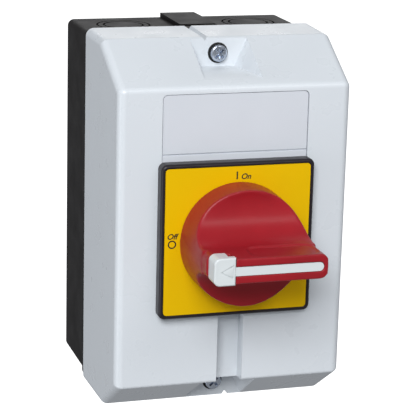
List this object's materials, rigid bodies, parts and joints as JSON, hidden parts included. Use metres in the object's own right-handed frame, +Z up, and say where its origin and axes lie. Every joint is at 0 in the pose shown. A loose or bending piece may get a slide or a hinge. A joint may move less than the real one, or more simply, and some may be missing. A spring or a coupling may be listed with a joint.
{
  "type": "enclosed rotary isolator switch",
  "caption": "Wall-mounted enclosed rotary isolator: dark base, grey cover, yellow plate, red padlockable handle, stacked three-pole switch inside.",
  "frame": {"origin": "middle of the flat back face that rests on the wall", "axes": "+Z up, +X to the right as seen from the front, +Y into the wall; the handle faces -Y"},
  "size_m": [0.09, 0.1288, 0.141],
  "materials": {
    "base_plastic": "fine matt moulded texture",
    "cover_plastic": "satin moulded",
    "marker_plastic": "satin",
    "plate_plastic": "satin moulded",
    "legend_yellow": "satin printed laminate",
    "handle_red": "satin gloss moulded",
    "slider_white": "satin gloss moulded",
    "switch_plastic": "matt glass-filled moulding",
    "rotor_plastic": "matt",
    "seal_rubber": "matt",
    "terminal_brass": "bright",
    "contact_copper": "bright copper alloy",
    "zinc_steel": "bright zinc plated",
    "spring_steel": "plain"
  },
  "bodies": {
    "base": {"rear_base": "base_plastic", "cover_gasket": "seal_rubber", "screw_inserts": "terminal_brass", "mounting_rail": "zinc_steel", "rail_screws": "zinc_steel", "switch_foot": "switch_plastic", "switch_deck_rear": "switch_plastic", "switch_deck_front": "switch_plastic", "switch_head": "switch_plastic", "line_contacts": "contact_copper", "load_contacts": "contact_copper", "wire_clamps": "zinc_steel", "terminal_screws": "zinc_steel", "body_screws": "zinc_steel", "detent_spring_upper": "spring_steel", "detent_spring_lower": "spring_steel", "earth_terminal": "terminal_brass", "neutral_terminal": "terminal_brass", "service_screws": "zinc_steel"},
    "cover": {"front_cover": "cover_plastic", "marker_insert": "marker_plastic", "cover_screws": "zinc_steel", "screw_washers": "seal_rubber", "escutcheon_frame": "plate_plastic", "handle_bush": "plate_plastic", "legend_plate": "legend_yellow", "plate_gasket": "seal_rubber", "fixing_nut": "plate_plastic"},
    "handle": {"handle_body": "handle_red", "hub_seal": "seal_rubber", "retaining_ring": "spring_steel"},
    "slider": {"padlock_slider": "slider_white"},
    "rotor": {"drive_shaft": "zinc_steel", "switch_rotor": "rotor_plastic", "contact_bridges": "contact_copper", "contact_springs": "spring_steel"},
    "latch": {"rail_latch": "rotor_plastic"}
  },
  "joints": [
    {"name": "cover_lift", "type": "slide", "parent": "base", "child": "cover", "axis": [0, -1, 0], "range_m": [0, 0.06]},
    {"name": "handle_turn", "type": "hinge", "parent": "cover", "child": "handle", "pos_m": [0, -0.091, 0], "axis": [0, 1, 0], "range_deg": [0, 90]},
    {"name": "rotor_turn", "type": "hinge", "parent": "base", "child": "rotor", "pos_m": [0, -0.03, 0], "axis": [0, 1, 0], "range_deg": [0, 90], "deforming": ["detent_spring_upper", "detent_spring_lower"]},
    {"name": "padlock_slide", "type": "slide", "parent": "handle", "child": "slider", "axis": [-1, 0, 0], "range_m": [0, 0.011]},
    {"name": "latch_release", "type": "slide", "parent": "base", "child": "latch", "axis": [0, 0, -1], "range_m": [0, 0.003], "stiffness_N_per_m": 400, "springref_m": -0.004}
  ],
  "couplings": [
    {"joint": "rotor_turn", "follows": "handle_turn", "ratio": 1}
  ]
}
